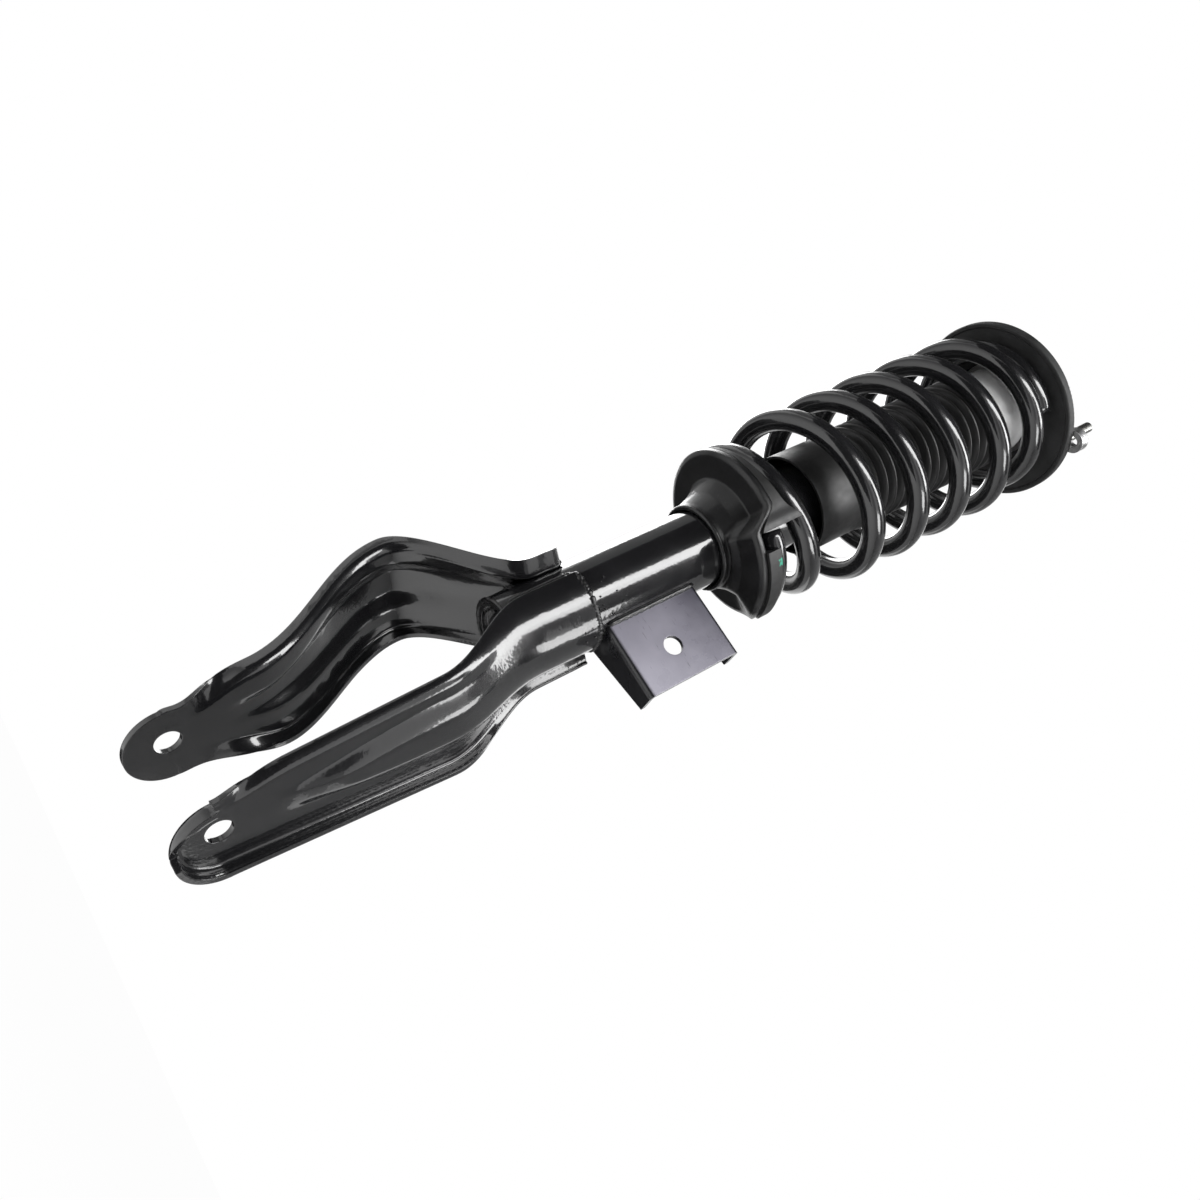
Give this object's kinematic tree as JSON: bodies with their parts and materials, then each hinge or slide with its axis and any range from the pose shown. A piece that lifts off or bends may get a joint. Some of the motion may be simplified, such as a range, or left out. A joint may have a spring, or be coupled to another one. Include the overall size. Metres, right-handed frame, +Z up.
{
  "type": "suspension strut",
  "caption": "Coil-over suspension strut with a two-armed pressed-steel lower fork, dust boot, side bracket and a top mount with studs.",
  "frame": {"origin": "centre of the lower fork's bolt hole, midway between the two eyes", "axes": "+Z up the strut towards the top mount, +X along the fork bolt from the straight arm to the bowed arm"},
  "size_m": [0.164, 0.137, 0.7217],
  "materials": {
    "black_paint": "gloss black paint over pressed steel",
    "spring_paint": "gloss black coating on spring wire",
    "plain_steel": "plain machined steel, hidden inside",
    "plated_steel": "zinc plated steel",
    "rod_chrome": "hard chrome, ground",
    "cup_metal": "light grey satin metal",
    "mount_alloy": "cast aluminium, bead blasted",
    "pad_rubber": "moulded black rubber, matte",
    "boot_rubber": "thin moulded black rubber, semi-matte",
    "bush_rubber": "bonded rubber",
    "stop_rubber": "foamed polyurethane, ochre",
    "seal_rubber": "oil seal rubber",
    "boot_plastic": "moulded black plastic",
    "band_plastic": "filled PTFE band"
  },
  "bodies": {
    "damper": {"fork_straight_half": "black_paint", "fork_bowed_half": "black_paint", "damper_tube": "black_paint", "tube_cap": "black_paint", "pressure_tube": "plain_steel", "base_valve": "plain_steel", "rod_guide": "plain_steel", "rod_seal": "seal_rubber", "side_bracket": "black_paint", "lower_spring_seat": "black_paint", "lower_seat_pad": "pad_rubber", "coil_spring": "spring_paint", "boot_skirt": "boot_plastic", "dust_boot": "boot_rubber"},
    "rod_and_mount": {"piston_rod": "rod_chrome", "piston": "plain_steel", "piston_band": "band_plastic", "piston_nut": "plain_steel", "valve_discs": "plain_steel", "rebound_stop": "plain_steel", "bump_stop": "stop_rubber", "bump_cup": "cup_metal", "upper_seat_pad": "pad_rubber", "mount_plate": "mount_alloy", "mount_bush": "bush_rubber", "mount_sleeve": "plain_steel", "rod_washer": "plated_steel", "rod_nut": "plated_steel", "mount_studs": "plated_steel"}
  },
  "joints": [
    {"name": "strut_slide", "type": "slide", "parent": "damper", "child": "rod_and_mount", "axis": [0, 0, 1], "range_m": [-0.09, 0], "stiffness_N_per_m": 50000, "springref_m": 0.03, "deforming": ["coil_spring", "dust_boot"]}
  ]
}
